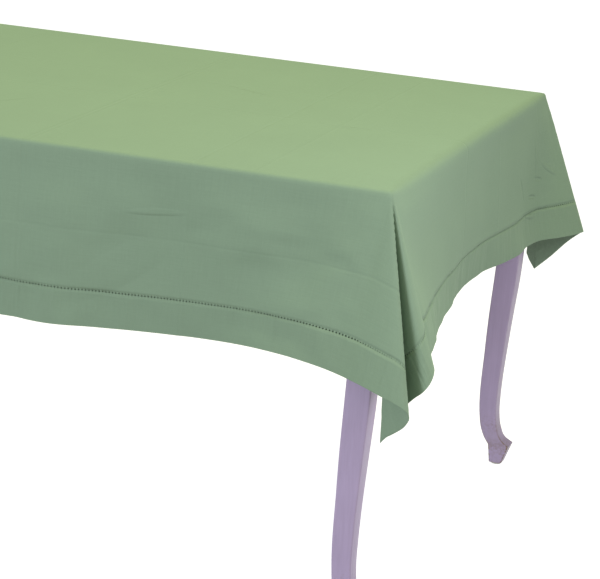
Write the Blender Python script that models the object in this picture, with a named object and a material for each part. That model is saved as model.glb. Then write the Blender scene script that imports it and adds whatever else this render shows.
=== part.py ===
"""A dining table on four cabriole legs, dressed with a hemstitched tablecloth that lifts off it.

Metres, +Z up. The origin is on the floor under the table's middle. +X runs along the table's length,
and -Y is its front. Corner pieces are modelled once, in a corner frame whose origin is on the floor
under the tabletop's corner and whose +X and +Y point inwards, and are then turned to each corner.
"""

import math

import bmesh
import bpy
import numpy as np

# Clearances
GAP = 0.0003  # between faces that touch
BOLT_PLAY = 0.0006  # between a bolt and its hole, on the radius
CLOTH_EASE = 0.0010  # between the tabletop's edge and the cloth

# Table
TABLE_HEIGHT = 0.740
TOP_LENGTH = 1.800
TOP_WIDTH = 1.000
TOP_THICKNESS = 0.024
TOP_EDGE_RADIUS = 0.010
TOP_CORNER_RADIUS = 0.014

# Legs
LEG_WIDTH = 0.043
LEG_REVEAL = 0.007  # from the tabletop's edge to the leg's outer face, at the top
LEG_SETBACK = LEG_REVEAL + LEG_WIDTH / 2  # to the middle of the leg
LEG_ARRIS = 0.0035  # chamfer on the long edges
FOOT_SETBACK = 0.0200
FOOT_WIDTH = 0.025
TOE_HEIGHT = 0.040
TOE_SETBACK = 0.0160
TOE_WIDTH = 0.041
GLIDE_THICKNESS = 0.003
# Sections up the leg: how far up from the toe to the top, the middle's setback, and the width
LEG_SECTIONS = (
    (0.018, 0.0250, 0.0350),
    (0.052, 0.0335, 0.0335),
    (0.096, 0.0380, 0.0335),
    (0.148, 0.0395, 0.0350),
    (0.207, 0.0390, 0.0360),
    (0.266, 0.0375, 0.0370),
    (0.340, 0.0355, 0.0392),
    (0.414, 0.0330, 0.0412),
    (0.503, LEG_SETBACK + 0.001, LEG_WIDTH),
    (0.592, LEG_SETBACK - 0.001, LEG_WIDTH),
    (0.710, LEG_SETBACK - 0.001, LEG_WIDTH),
    (0.828, LEG_SETBACK, LEG_WIDTH),
    (1.000, LEG_SETBACK, LEG_WIDTH),
)

# Tabletop buttons and their screws
BUTTON_LENGTH = 0.034
BUTTON_WIDTH = 0.026
BUTTON_THICKNESS = 0.016
BUTTON_FROM_END = 0.280  # from the tabletop's end to the nearest button's middle
TONGUE_THICKNESS = 0.006
TONGUE_PLAY = 0.001  # at the bottom of the groove
TONGUE_EASE = 0.0005  # above and below the tongue
SCREW_RADIUS = 0.0018
SCREW_PLAY = 0.0006  # between a screw and its button, on the radius
SCREW_HEAD_RADIUS = 0.0040
SCREW_HEAD_THICKNESS = 0.0025
SCREW_IN_TOP = 0.013
SCREW_SETBACK = 0.021  # from the apron's inner face

# Aprons
APRON_HEIGHT = 0.085
APRON_THICKNESS = 0.020
APRON_REVEAL = 0.005  # from the leg's outer face to the apron's
GROOVE_DEPTH = 0.0080

# Corner hardware
BRACE_HEIGHT = 0.060
BRACE_THICKNESS = 0.022
BRACE_STANDOFF = 0.030  # from the leg's inner arris to the brace
BOLT_RADIUS = 0.0040
BOLT_IN_LEG = 0.024
BOLT_TAIL = 0.006  # what stands out past the nut
WASHER_RIM = 0.0064  # from the washer's hole to its edge
WASHER_THICKNESS = 0.0015
NUT_WALL = 0.0028  # between the corners of the nut's bore and its own
NUT_THICKNESS = 0.0065
GLIDE_RADIUS = 0.0100
GLIDE_PIN_RADIUS = 0.0013
GLIDE_PIN_LENGTH = 0.012

# Tablecloth
CLOTH_THICKNESS = 0.0012
SIDE_DROP = 0.295
END_DROP = 0.275
HEM_WIDTH = 0.060
HEM_THICKNESS = 0.0010
STITCH_WIDTH = 0.0024
STITCH_THICKNESS = 0.0008
STITCH_EASE = 0.0012  # between the hem and its row of stitches
CLOTH_BEND = 0.6 * TOP_EDGE_RADIUS  # the cloth stands a little off the rounded edge
HANG_OUT = 0.006  # how far the hem's edge stands out from the tabletop's edge
MITRE_GAP = 0.0008  # between two hems at a corner, each side of the mitre
TIP_DROP = 0.985 * math.hypot(SIDE_DROP, END_DROP)  # the folded corner hangs a little short
# The hem's edge round a corner, from the long side to the end: past the tabletop's end,
# past its long edge, and below its top. The cloth folds out, in to its own corner, and out again.
CORNER_HEM = (
    (-0.200, HANG_OUT, SIDE_DROP),
    (-0.100, 0.014, SIDE_DROP),
    (-0.020, 0.042, SIDE_DROP + 0.003),
    (0.066, 0.084, SIDE_DROP + 0.020),
    (0.076, 0.078, SIDE_DROP + 0.024),
    (0.046, 0.045, TIP_DROP - 0.038),
    (0.020, 0.017, TIP_DROP),
    (0.062, 0.034, TIP_DROP - 0.058),
    (0.103, 0.057, END_DROP + 0.010),
    (0.108, 0.044, END_DROP + 0.008),
    (0.056, -0.060, END_DROP + 0.003),
    (0.018, -0.150, END_DROP),
    (HANG_OUT, -0.240, END_DROP),
)
SIDE_COLUMNS = 3  # columns that leave the long edge, before those that fan out from the corner
END_COLUMNS = 3
TIP_COLUMN = 6

CORNERS = {  # name: direction along X, direction along Y, quarter turns of the corner frame
    "front_left": (-1, -1, 0),
    "front_right": (1, -1, 1),
    "back_right": (1, 1, 2),
    "back_left": (-1, 1, 3),
}
SIDES = {  # name: direction along X, direction along Y, quarter turns of the side frame
    "front": (0, -1, 0),
    "right": (1, 0, 1),
    "back": (0, 1, 2),
    "left": (-1, 0, 3),
}
ROUND = 12  # sides of a turned piece

UNDERSIDE = TABLE_HEIGHT - TOP_THICKNESS
APRON_SETBACK = LEG_REVEAL + APRON_REVEAL
APRON_INSIDE = APRON_SETBACK + APRON_THICKNESS
LEG_INSIDE = LEG_SETBACK + LEG_WIDTH / 2
BOLT_HEIGHT = UNDERSIDE - APRON_HEIGHT / 2


def clear_scene():
    for ob in list(bpy.data.objects):
        bpy.data.objects.remove(ob)


def make_material(name, colour, roughness, metallic=0.0):
    mat = bpy.data.materials.new(name)
    mat.use_nodes = True
    shader = mat.node_tree.nodes["Principled BSDF"]
    shader.inputs["Base Color"].default_value = (*colour, 1.0)
    shader.inputs["Roughness"].default_value = roughness
    shader.inputs["Metallic"].default_value = metallic
    return mat


def add_empty(name):
    empty = bpy.data.objects.new(name, None)
    bpy.context.collection.objects.link(empty)
    return empty


def add_object(name, mesh, parent, mat, place=(0, 0, 0), turns=0):
    """Places a mesh under a parent, turned by quarter turns about Z."""
    ob = bpy.data.objects.new(name, mesh)
    bpy.context.collection.objects.link(ob)
    ob.parent = parent
    ob.location = place
    ob.rotation_euler = (0, 0, turns * math.pi / 2)
    if not mesh.materials:
        mesh.materials.append(mat)
    return ob


def close_mesh(name, bm):
    bmesh.ops.recalc_face_normals(bm, faces=bm.faces)
    mesh = bpy.data.meshes.new(name)
    bm.to_mesh(mesh)
    bm.free()
    return mesh


def loft(name, loops):
    """A closed solid through loops of equal length, with a flat cap at each end."""
    bm = bmesh.new()
    rows = [[bm.verts.new(point) for point in loop] for loop in loops]
    for low, high in zip(rows, rows[1:]):
        count = len(low)
        for i in range(count):
            j = (i + 1) % count
            bm.faces.new((low[i], low[j], high[j], high[i]))
    bm.faces.new(reversed(rows[0]))
    bm.faces.new(rows[-1])
    return close_mesh(name, bm)


def pipe(name, outer, inner):
    """A solid between an outer and an inner run of loops, open right through."""
    bm = bmesh.new()
    rows = [[bm.verts.new(point) for point in loop] for loop in outer + inner[::-1]]
    for low, high in zip(rows, rows[1:] + rows[:1]):
        count = len(low)
        for i in range(count):
            j = (i + 1) % count
            bm.faces.new((low[i], low[j], high[j], high[i]))
    return close_mesh(name, bm)


def ring(radius, height, count=ROUND):
    """A circle of points about Z at a height."""
    angles = [2 * math.pi * i / count for i in range(count)]
    return [(radius * math.cos(a), radius * math.sin(a), height) for a in angles]


def along_diagonal(loop, start):
    """Turns a loop about Z so that it stands on the corner frame's diagonal, at a distance along it."""
    half = math.sqrt(0.5)
    points = []
    for across, up, out in loop:
        reach = start + out
        points.append((reach * half - across * half, reach * half + across * half, BOLT_HEIGHT + up))
    return points


def rounded_rectangle(half_length, half_width, radius, height, steps=4):
    """Points round a rectangle with arcs at its corners, counter-clockwise."""
    points = []
    for turns, (sx, sy) in enumerate(((1, 1), (-1, 1), (-1, -1), (1, -1))):
        for step in range(steps + 1):
            angle = (turns + step / steps) * math.pi / 2
            x = sx * (half_length - radius) + radius * math.cos(angle)
            y = sy * (half_width - radius) + radius * math.sin(angle)
            points.append((x, y, height))
    return points


def cut_with(ob, mesh):
    """Cuts a mesh out of an object. The cutter shares the object's place."""
    cutter = bpy.data.objects.new(ob.name + "_cutter", mesh)
    bpy.context.collection.objects.link(cutter)
    cutter.parent = ob.parent
    cutter.location = ob.location
    cutter.rotation_euler = ob.rotation_euler
    cutter.hide_render = True
    cutter.display_type = "WIRE"
    cut = ob.modifiers.new("cut", "BOOLEAN")
    cut.operation = "DIFFERENCE"
    cut.solver = "EXACT"
    cut.object = cutter


def joined(name, meshes):
    """One mesh that holds several separate closed meshes, for use as a cutter."""
    bm = bmesh.new()
    for mesh in meshes:
        bm.from_mesh(mesh)
    out = bpy.data.meshes.new(name)
    bm.to_mesh(out)
    bm.free()
    return out


def button_places():
    """Each tabletop button's name, its side, and how far along that side it stands."""
    pitch = TOP_LENGTH / 2 - BUTTON_FROM_END
    places = []
    for side in ("front", "back"):
        places += [(side + "_a", side, -pitch), (side + "_b", side, 0.0), (side + "_c", side, pitch)]
    return places + [("right", "right", 0.0), ("left", "left", 0.0)]


def side_place(side, along, inward):
    """The point on a side, a distance along it and a distance in from the tabletop's edge."""
    sx, sy, turns = SIDES[side]
    reach_x = TOP_LENGTH / 2 - inward
    reach_y = TOP_WIDTH / 2 - inward
    cos, sin = round(math.cos(turns * math.pi / 2)), round(math.sin(turns * math.pi / 2))
    return (sx * reach_x + along * cos, sy * reach_y + along * sin, 0)


def make_tabletop(parent, mat):
    half_length, half_width = TOP_LENGTH / 2, TOP_WIDTH / 2
    loops = []
    bottom_ease = TOP_EDGE_RADIUS / 2
    for inset, height in ((bottom_ease, UNDERSIDE), (0.0, UNDERSIDE + bottom_ease)):
        radius = TOP_CORNER_RADIUS - inset
        loops.append(rounded_rectangle(half_length - inset, half_width - inset, radius, height))
    for step in range(4):
        angle = step / 3 * math.pi / 2
        inset = TOP_EDGE_RADIUS * (1 - math.cos(angle))
        height = TABLE_HEIGHT - TOP_EDGE_RADIUS * (1 - math.sin(angle))
        radius = TOP_CORNER_RADIUS - inset
        loops.append(rounded_rectangle(half_length - inset, half_width - inset, radius, height))
    top = add_object("tabletop", loft("tabletop", loops), parent, mat)
    pilots = []
    for _, side, along in button_places():
        x, y, _ = side_place(side, along, APRON_INSIDE + SCREW_SETBACK)
        radius = SCREW_RADIUS + GAP
        ends = (UNDERSIDE - SCREW_IN_TOP, UNDERSIDE + SCREW_IN_TOP + GAP)
        loops = [[(x + px, y + py, z) for px, py, z in ring(radius, end, 8)] for end in ends]
        pilots.append(loft("pilot", loops))
    cut_with(top, joined("tabletop_pilots", pilots))


def leg_sections():
    """Height, setback and width of each section, from the foot up."""
    top = UNDERSIDE - GAP
    foot = (GLIDE_THICKNESS + GAP, FOOT_SETBACK, FOOT_WIDTH)
    toe = (TOE_HEIGHT, TOE_SETBACK, TOE_WIDTH)
    shaft = []
    for share, setback, width in LEG_SECTIONS:
        shaft.append((TOE_HEIGHT + share * (top - TOE_HEIGHT), setback, width))
    return [foot, toe] + shaft


def leg_loop(height, setback, width):
    """A square section with chamfered arrises, in the corner frame."""
    half = width / 2
    flat = half - LEG_ARRIS
    points = (
        (half, -flat), (half, flat), (flat, half), (-flat, half),
        (-half, flat), (-half, -flat), (-flat, -half), (flat, -half),
    )
    return [(setback + x, setback + y, height) for x, y in points]


def make_legs(parent, mat):
    mesh = loft("leg", [leg_loop(*section) for section in leg_sections()])
    arris = LEG_INSIDE * math.sqrt(2)
    bore_ends = (arris - BOLT_IN_LEG - GAP, arris + BOLT_IN_LEG)
    bore = loft("bore", [along_diagonal(ring(BOLT_RADIUS + GAP, 0), end) for end in bore_ends])
    pin_ends = (0, GLIDE_THICKNESS + GLIDE_PIN_LENGTH + GAP)
    pin_loops = []
    for end in pin_ends:
        loop = ring(GLIDE_PIN_RADIUS + GAP, end, 8)
        pin_loops.append([(FOOT_SETBACK + x, FOOT_SETBACK + y, z) for x, y, z in loop])
    cutter = joined("leg_bores", [bore, loft("pin_hole", pin_loops)])
    for corner, (sx, sy, turns) in CORNERS.items():
        place = (sx * TOP_LENGTH / 2, sy * TOP_WIDTH / 2, 0)
        leg = add_object("leg_" + corner, mesh, parent, mat, place, turns)
        cut_with(leg, cutter)


def make_glides(parent, mat):
    """A nail-in glide under each foot: a round pad and its pin, turned as one."""
    pin_top = GLIDE_THICKNESS + GLIDE_PIN_LENGTH
    profile = (
        (GLIDE_RADIUS - 0.0006, 0.0),
        (GLIDE_RADIUS, 0.0008),
        (GLIDE_RADIUS, GLIDE_THICKNESS),
        (GLIDE_PIN_RADIUS, GLIDE_THICKNESS),
        (GLIDE_PIN_RADIUS, pin_top),
    )
    loops = []
    for radius, height in profile:
        loops.append([(FOOT_SETBACK + x, FOOT_SETBACK + y, z) for x, y, z in ring(radius, height)])
    mesh = loft("glide", loops)
    for corner, (sx, sy, turns) in CORNERS.items():
        place = (sx * TOP_LENGTH / 2, sy * TOP_WIDTH / 2, 0)
        add_object("glide_" + corner, mesh, parent, mat, place, turns)


def make_aprons(parent, mat):
    """A rail under each edge of the top, with a groove on its inner face for the buttons."""
    top = UNDERSIDE - GAP
    groove_bottom = UNDERSIDE - BUTTON_THICKNESS - TONGUE_EASE
    groove_top = groove_bottom + TONGUE_THICKNESS + 2 * TONGUE_EASE
    inside = APRON_THICKNESS
    profile = (
        (0.0, UNDERSIDE - APRON_HEIGHT),
        (inside, UNDERSIDE - APRON_HEIGHT),
        (inside, groove_bottom),
        (inside - GROOVE_DEPTH, groove_bottom),
        (inside - GROOVE_DEPTH, groove_top),
        (inside, groove_top),
        (inside, top),
        (0.0, top),
    )
    for side, (sx, _, turns) in SIDES.items():
        length = (TOP_WIDTH if sx else TOP_LENGTH) - 2 * (LEG_INSIDE + GAP)
        loops = [[(end * length / 2, y, z) for y, z in profile] for end in (-1, 1)]
        place = side_place(side, 0.0, APRON_SETBACK)
        add_object("apron_" + side, loft("apron_" + side, loops), parent, mat, place, turns)


def make_corner_hardware(parent, wood, steel):
    """A diagonal brace in each corner, and the hanger bolt, washer and nut that pull the leg to it."""
    near = LEG_INSIDE * math.sqrt(2) + BRACE_STANDOFF
    far = near + BRACE_THICKNESS
    start = APRON_INSIDE + GAP
    near_end = near * math.sqrt(2) - start
    far_end = far * math.sqrt(2) - start
    plan = ((start, near_end), (near_end, start), (far_end, start), (start, far_end))
    levels = (BOLT_HEIGHT - BRACE_HEIGHT / 2, BOLT_HEIGHT + BRACE_HEIGHT / 2)
    brace_mesh = loft("brace", [[(x, y, z) for x, y in plan] for z in levels])
    hole_ends = (near - BRACE_THICKNESS, far + BRACE_THICKNESS)
    hole_mesh = loft(
        "brace_hole", [along_diagonal(ring(BOLT_RADIUS + BOLT_PLAY, 0), end) for end in hole_ends]
    )
    washer_start = far + GAP
    nut_start = washer_start + WASHER_THICKNESS + GAP
    nut_end = nut_start + NUT_THICKNESS
    bolt_ends = (LEG_INSIDE * math.sqrt(2) - BOLT_IN_LEG, nut_end + BOLT_TAIL)

    def turned(radius, ends, count=ROUND):
        return [along_diagonal(ring(radius, 0, count), end) for end in ends]

    bolt_mesh = loft("hanger_bolt", turned(BOLT_RADIUS, bolt_ends))
    washer_ends = (washer_start, washer_start + WASHER_THICKNESS)
    washer_hole = BOLT_RADIUS + BOLT_PLAY
    washer_mesh = pipe(
        "washer", turned(washer_hole + WASHER_RIM, washer_ends), turned(washer_hole, washer_ends)
    )
    nut_ends = (nut_start, nut_end)
    nut_bore = (BOLT_RADIUS + GAP) / math.cos(math.pi / 6)  # six-sided, clear of the bolt at its flats
    nut_mesh = pipe(
        "nut", turned(nut_bore + NUT_WALL, nut_ends, 6), turned(nut_bore, nut_ends, 6)
    )
    for corner, (sx, sy, turns) in CORNERS.items():
        place = (sx * TOP_LENGTH / 2, sy * TOP_WIDTH / 2, 0)
        brace = add_object("corner_brace_" + corner, brace_mesh, parent, wood, place, turns)
        cut_with(brace, hole_mesh)
        add_object("hanger_bolt_" + corner, bolt_mesh, parent, steel, place, turns)
        add_object("washer_" + corner, washer_mesh, parent, steel, place, turns)
        add_object("nut_" + corner, nut_mesh, parent, steel, place, turns)


def make_buttons(parent, wood, steel):
    """Wooden buttons whose tongues sit in the aprons' grooves, and the screws that hold the top down."""
    top = UNDERSIDE - GAP
    bottom = UNDERSIDE - BUTTON_THICKNESS
    tongue_end = TONGUE_PLAY - GROOVE_DEPTH
    profile = (
        (GAP, top),
        (GAP, bottom + TONGUE_THICKNESS),
        (tongue_end, bottom + TONGUE_THICKNESS),
        (tongue_end, bottom),
        (BUTTON_LENGTH, bottom),
        (BUTTON_LENGTH, top),
    )
    half = BUTTON_WIDTH / 2
    block_mesh = loft("button", [[(x, y, z) for y, z in profile] for x in (-half, half)])
    hole_loops = []
    for end in (bottom - BUTTON_THICKNESS, top + BUTTON_THICKNESS):
        loop = ring(SCREW_RADIUS + SCREW_PLAY, end, 8)
        hole_loops.append([(x, y + SCREW_SETBACK, z) for x, y, z in loop])
    hole_mesh = loft("button_hole", hole_loops)
    head_top = bottom - GAP
    screw_profile = (
        (SCREW_HEAD_RADIUS * 0.7, head_top - SCREW_HEAD_THICKNESS),
        (SCREW_HEAD_RADIUS, head_top - SCREW_HEAD_THICKNESS / 2),
        (SCREW_HEAD_RADIUS, head_top),
        (SCREW_RADIUS, head_top),
        (SCREW_RADIUS, UNDERSIDE + SCREW_IN_TOP * 0.7),
        (SCREW_RADIUS * 0.3, UNDERSIDE + SCREW_IN_TOP),
    )
    loops = []
    for radius, height in screw_profile:
        loops.append([(x, y + SCREW_SETBACK, z) for x, y, z in ring(radius, height, 8)])
    screw_mesh = loft("button_screw", loops)
    for label, side, along in button_places():
        place = side_place(side, along, APRON_INSIDE)
        turns = SIDES[side][2]
        block = add_object("button_" + label, block_mesh, parent, wood, place, turns)
        cut_with(block, hole_mesh)
        add_object("button_screw_" + label, screw_mesh, parent, steel, place, turns)


def corner_columns():
    """For each column of cloth at a corner: where it leaves the tabletop's edge, and its hem's edge.

    Both are given past the tabletop's end and past its long edge, so the corner's own point is (0, 0)."""
    count = len(CORNER_HEM)
    fan = count - SIDE_COLUMNS - END_COLUMNS
    radius = TOP_CORNER_RADIUS
    columns = []
    for i, (past_end, past_side, drop) in enumerate(CORNER_HEM):
        if i < SIDE_COLUMNS:
            normal = (0.0, 1.0)
            edge = (min(past_end, -radius - 0.002), 0.0)
        elif i >= count - END_COLUMNS:
            normal = (1.0, 0.0)
            edge = (0.0, min(past_side * 0.7, -radius - 0.002))
        else:
            angle = (i - SIDE_COLUMNS) / (fan - 1) * math.pi / 2
            normal = (math.sin(angle), math.cos(angle))
            edge = (radius * (normal[0] - 1), radius * (normal[1] - 1))
        columns.append((edge, normal, (past_end, past_side, drop), i))
    return columns


def hem_share(column, drop):
    """How far down a column the hem's inner edge lies."""
    nominal = SIDE_DROP if column < TIP_COLUMN else END_DROP
    if column == TIP_COLUMN:
        nominal = (SIDE_DROP + END_DROP) / 2
    return 1 - HEM_WIDTH / nominal


def cloth_column(edge, normal, hem, index):
    """The points down one column of the cloth's inner face, past the end, past the side, and height."""
    level = TABLE_HEIGHT + GAP
    points = []
    for step in range(3):
        angle = step / 2 * math.pi / 2
        out = CLOTH_EASE - CLOTH_BEND * (1 - math.sin(angle))
        height = level - CLOTH_BEND * (1 - math.cos(angle))
        points.append((edge[0] + normal[0] * out, edge[1] + normal[1] * out, height))
    start = np.array(points[-1])
    past_end, past_side, drop = hem
    end = np.array((past_end, past_side, TABLE_HEIGHT - drop))
    share = hem_share(index, drop)
    ease_share = STITCH_EASE / drop
    stitch_share = STITCH_WIDTH / drop
    for part in (share - ease_share - stitch_share, share - ease_share, share, 1.0):
        points.append(tuple(start + (end - start) * part))
    return points


def cloth_grid():
    """The cloth's inner face as columns of points, counter-clockwise from the front left corner's end."""
    columns = []
    tips = []
    for corner, (sx, sy, _) in CORNERS.items():
        found = [cloth_column(*column) for column in corner_columns()]
        tip = TIP_COLUMN
        if sx * sy > 0:
            found.reverse()
            tip = len(found) - 1 - TIP_COLUMN
        tips.append(len(columns) + tip)
        for points in found:
            world = []
            for past_end, past_side, height in points:
                x = sx * (TOP_LENGTH / 2 + past_end)
                y = sy * (TOP_WIDTH / 2 + past_side)
                world.append((x, y, height))
            columns.append(world)
    return np.array(columns), tips


def outward_steps(grid):
    """For each point, the step that moves all of the facets round it outwards by one unit."""
    count, rows = grid.shape[:2]
    normals = [[[] for _ in range(rows)] for _ in range(count)]
    for i in range(count):
        j = (i + 1) % count
        for r in range(rows - 1):
            corners = ((i, r), (i, r + 1), (j, r + 1), (j, r))
            for pick in ((0, 1, 2), (0, 2, 3)):
                a, b, c = (grid[corners[p]] for p in pick)
                normal = np.cross(b - a, c - a)
                size = np.linalg.norm(normal)
                if size < 1e-12:
                    continue
                for p in pick:
                    normals[corners[p][0]][corners[p][1]].append(normal / size)
    steps = np.zeros_like(grid)
    for i in range(count):
        for r in range(rows):
            found = normals[i][r] + ([np.array((0.0, 0.0, 1.0))] if r == 0 else [])
            matrix = np.array(found)
            steps[i, r] = np.linalg.lstsq(matrix, np.ones(len(matrix)), rcond=0.12)[0]
    return steps


def cloth_strip(name, grid, steps, columns, rows, outer, inner, closed=False):
    """A closed strip of cloth over the given columns and rows, between two distances from the inner face."""
    bm = bmesh.new()
    faces = []
    for distance in (outer, inner):
        made = []
        for i in columns:
            made.append([bm.verts.new(grid[i, r] + steps[i, r] * distance) for r in rows])
        faces.append(made)
    front, back = faces
    count = len(columns)
    pairs = [(i, (i + 1) % count) for i in range(count if closed else count - 1)]
    for i, j in pairs:
        for r in range(len(rows) - 1):
            bm.faces.new((front[i][r], front[i][r + 1], front[j][r + 1]))
            bm.faces.new((front[i][r], front[j][r + 1], front[j][r]))
            bm.faces.new((back[i][r], back[j][r + 1], back[i][r + 1]))
            bm.faces.new((back[i][r], back[j][r], back[j][r + 1]))
        bm.faces.new((front[i][-1], back[i][-1], back[j][-1], front[j][-1]))
        if not closed:
            bm.faces.new((front[i][0], front[j][0], back[j][0], back[i][0]))
    if closed:
        bm.faces.new([column[0] for column in front])
        bm.faces.new([column[0] for column in reversed(back)])
    else:
        for made, other in ((0, 1), (-1, -2)):
            for r in range(len(rows) - 1):
                bm.faces.new((front[made][r], front[made][r + 1], back[made][r + 1], back[made][r]))
    return close_mesh(name, bm)


def pull_back(grid, tip, neighbour):
    """A copy of the grid whose tip column stands a mitre gap back towards its neighbour."""
    moved = grid.copy()
    towards = grid[neighbour] - grid[tip]
    for r in range(grid.shape[1]):
        size = np.linalg.norm(towards[r])
        if size > 0:
            moved[tip, r] = grid[tip, r] + towards[r] / size * MITRE_GAP
    return moved


def make_cloth(parent, fabric, thread):
    grid, tips = cloth_grid()
    count, rows = grid.shape[:2]
    steps = outward_steps(grid)
    panel = cloth_strip(
        "cloth_panel", grid, steps, range(count), range(rows), CLOTH_THICKNESS, 0.0, closed=True
    )
    add_object("cloth_panel", panel, parent, fabric)
    hem_rows = (rows - 2, rows - 1)
    stitch_rows = (rows - 4, rows - 3)
    for k, side in enumerate(("front", "right", "back", "left")):
        start, end = tips[k], tips[(k + 1) % 4]
        if end < start:
            end += count
        columns = [i % count for i in range(start, end + 1)]
        moved = pull_back(grid, columns[0], columns[1])
        moved = pull_back(moved, columns[-1], columns[-2])
        hem = cloth_strip(
            "hem_" + side, moved, steps, columns, hem_rows, -GAP, -GAP - HEM_THICKNESS
        )
        add_object("hem_" + side, hem, parent, fabric)
        stitch = cloth_strip(
            "hemstitch_" + side, moved, steps, columns, stitch_rows, -GAP, -GAP - STITCH_THICKNESS
        )
        add_object("hemstitch_" + side, stitch, parent, thread)


def main():
    clear_scene()
    table = add_empty("table")
    tablecloth = add_empty("tablecloth")
    tablecloth.parent = table
    fabric = make_material("green_cloth", (0.24, 0.37, 0.22), 0.85)
    thread = make_material("hemstitch_thread", (0.30, 0.44, 0.28), 0.8)
    painted = make_material("lilac_paint", (0.42, 0.37, 0.60), 0.45)
    bare = make_material("bare_wood", (0.52, 0.36, 0.21), 0.6)
    steel = make_material("zinc_steel", (0.62, 0.63, 0.64), 0.35, 1.0)
    plastic = make_material("glide_plastic", (0.75, 0.74, 0.70), 0.5)
    make_tabletop(table, painted)
    make_legs(table, painted)
    make_aprons(table, painted)
    make_glides(table, plastic)
    make_corner_hardware(table, bare, steel)
    make_buttons(table, bare, steel)
    make_cloth(tablecloth, fabric, thread)


main()
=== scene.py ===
"""The looks of a hemstitched tablecloth on a dining table with cabriole legs.

Laid out as a Blender add-on: sizes and colours are properties, each group of pieces has an operator,
and main() calls them in order. Metres, +Z up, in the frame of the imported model.
"""

import math

import bpy
import bmesh
import numpy as np
from bpy.props import FloatProperty, FloatVectorProperty, IntProperty, PointerProperty
from mathutils import Matrix, Vector


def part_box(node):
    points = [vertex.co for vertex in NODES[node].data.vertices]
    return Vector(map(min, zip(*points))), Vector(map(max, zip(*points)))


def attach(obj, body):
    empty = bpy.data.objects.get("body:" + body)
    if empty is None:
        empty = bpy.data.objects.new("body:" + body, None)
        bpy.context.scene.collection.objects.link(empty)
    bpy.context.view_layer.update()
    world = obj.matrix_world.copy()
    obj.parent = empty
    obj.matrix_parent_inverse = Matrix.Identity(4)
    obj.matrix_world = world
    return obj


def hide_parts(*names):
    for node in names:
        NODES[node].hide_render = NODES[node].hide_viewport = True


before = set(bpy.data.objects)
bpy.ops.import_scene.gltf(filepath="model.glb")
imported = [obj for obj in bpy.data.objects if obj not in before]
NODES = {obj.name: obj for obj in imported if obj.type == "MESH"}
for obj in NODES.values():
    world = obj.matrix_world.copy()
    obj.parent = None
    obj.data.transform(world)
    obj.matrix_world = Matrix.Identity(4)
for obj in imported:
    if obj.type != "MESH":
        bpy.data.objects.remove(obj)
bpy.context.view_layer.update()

bl_info = {
    "name": "Hemstitched tablecloth on a table",
    "version": (1, 0, 0),
    "blender": (4, 5, 0),
    "location": "3D View > Sidebar > Tablecloth",
    "description": "Drapes a hemstitched cloth over a dining table with painted cabriole legs",
    "category": "Object",
}

TOP_LOW, TOP_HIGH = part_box("tabletop")
HALF_LENGTH = TOP_HIGH.x
HALF_WIDTH = TOP_HIGH.y
TOP_LEVEL = TOP_HIGH.z
CORNERS = {  # name: direction along X, direction along Y
    "front_left": (-1, -1),
    "front_right": (1, -1),
    "back_right": (1, 1),
    "back_left": (-1, 1),
}
SIDES = ("front", "right", "back", "left")

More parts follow.
